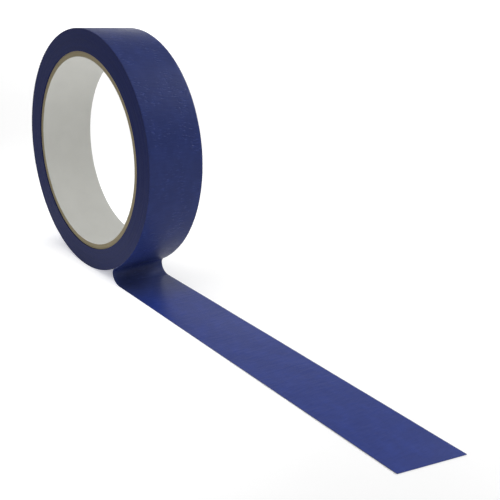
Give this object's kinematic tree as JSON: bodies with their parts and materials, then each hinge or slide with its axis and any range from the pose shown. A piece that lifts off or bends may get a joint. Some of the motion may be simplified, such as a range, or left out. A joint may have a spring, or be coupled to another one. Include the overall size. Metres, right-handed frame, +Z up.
{
  "type": "masking tape roll",
  "caption": "Roll of crepe masking tape on a paper tube core, standing on its tread, with a strip pulled off over one tight bend and laid flat.",
  "frame": {"origin": "centre of the core's bore, halfway along its width", "axes": "+Y along the roll's axis, +X along the laid strip away from the roll, +Z up"},
  "size_m": [0.2301, 0.024, 0.0984],
  "materials": {
    "liner_paper": "matt",
    "core_board": "matt, cut edge",
    "wound_tape": "fine crepe, satin",
    "crepe_backing": "fine crepe, satin",
    "adhesive": "tacky, satin"
  },
  "bodies": {
    "strip": {"tail_backing": "crepe_backing", "tail_adhesive": "adhesive"},
    "bend": {"bend_backing": "crepe_backing", "bend_adhesive": "adhesive"},
    "roll": {"core_liner": "liner_paper", "core_ply_inner": "core_board", "core_ply_middle": "core_board", "core_ply_outer": "core_board", "tape_winding": "wound_tape"}
  },
  "joints": [
    {"name": "unroll", "type": "slide", "parent": "strip", "child": "bend", "axis": [-1, 0, 0], "range_m": [0, 0.309], "deforming": ["tail_backing", "tail_adhesive"]},
    {"name": "roll_spin", "type": "hinge", "parent": "bend", "child": "roll", "pos_m": [0, 0, 0], "axis": [0, 1, 0], "range_deg": [0, 360]}
  ],
  "couplings": [
    {"joint": "roll_spin", "follows": "unroll", "rad_per_m": 20.325}
  ]
}
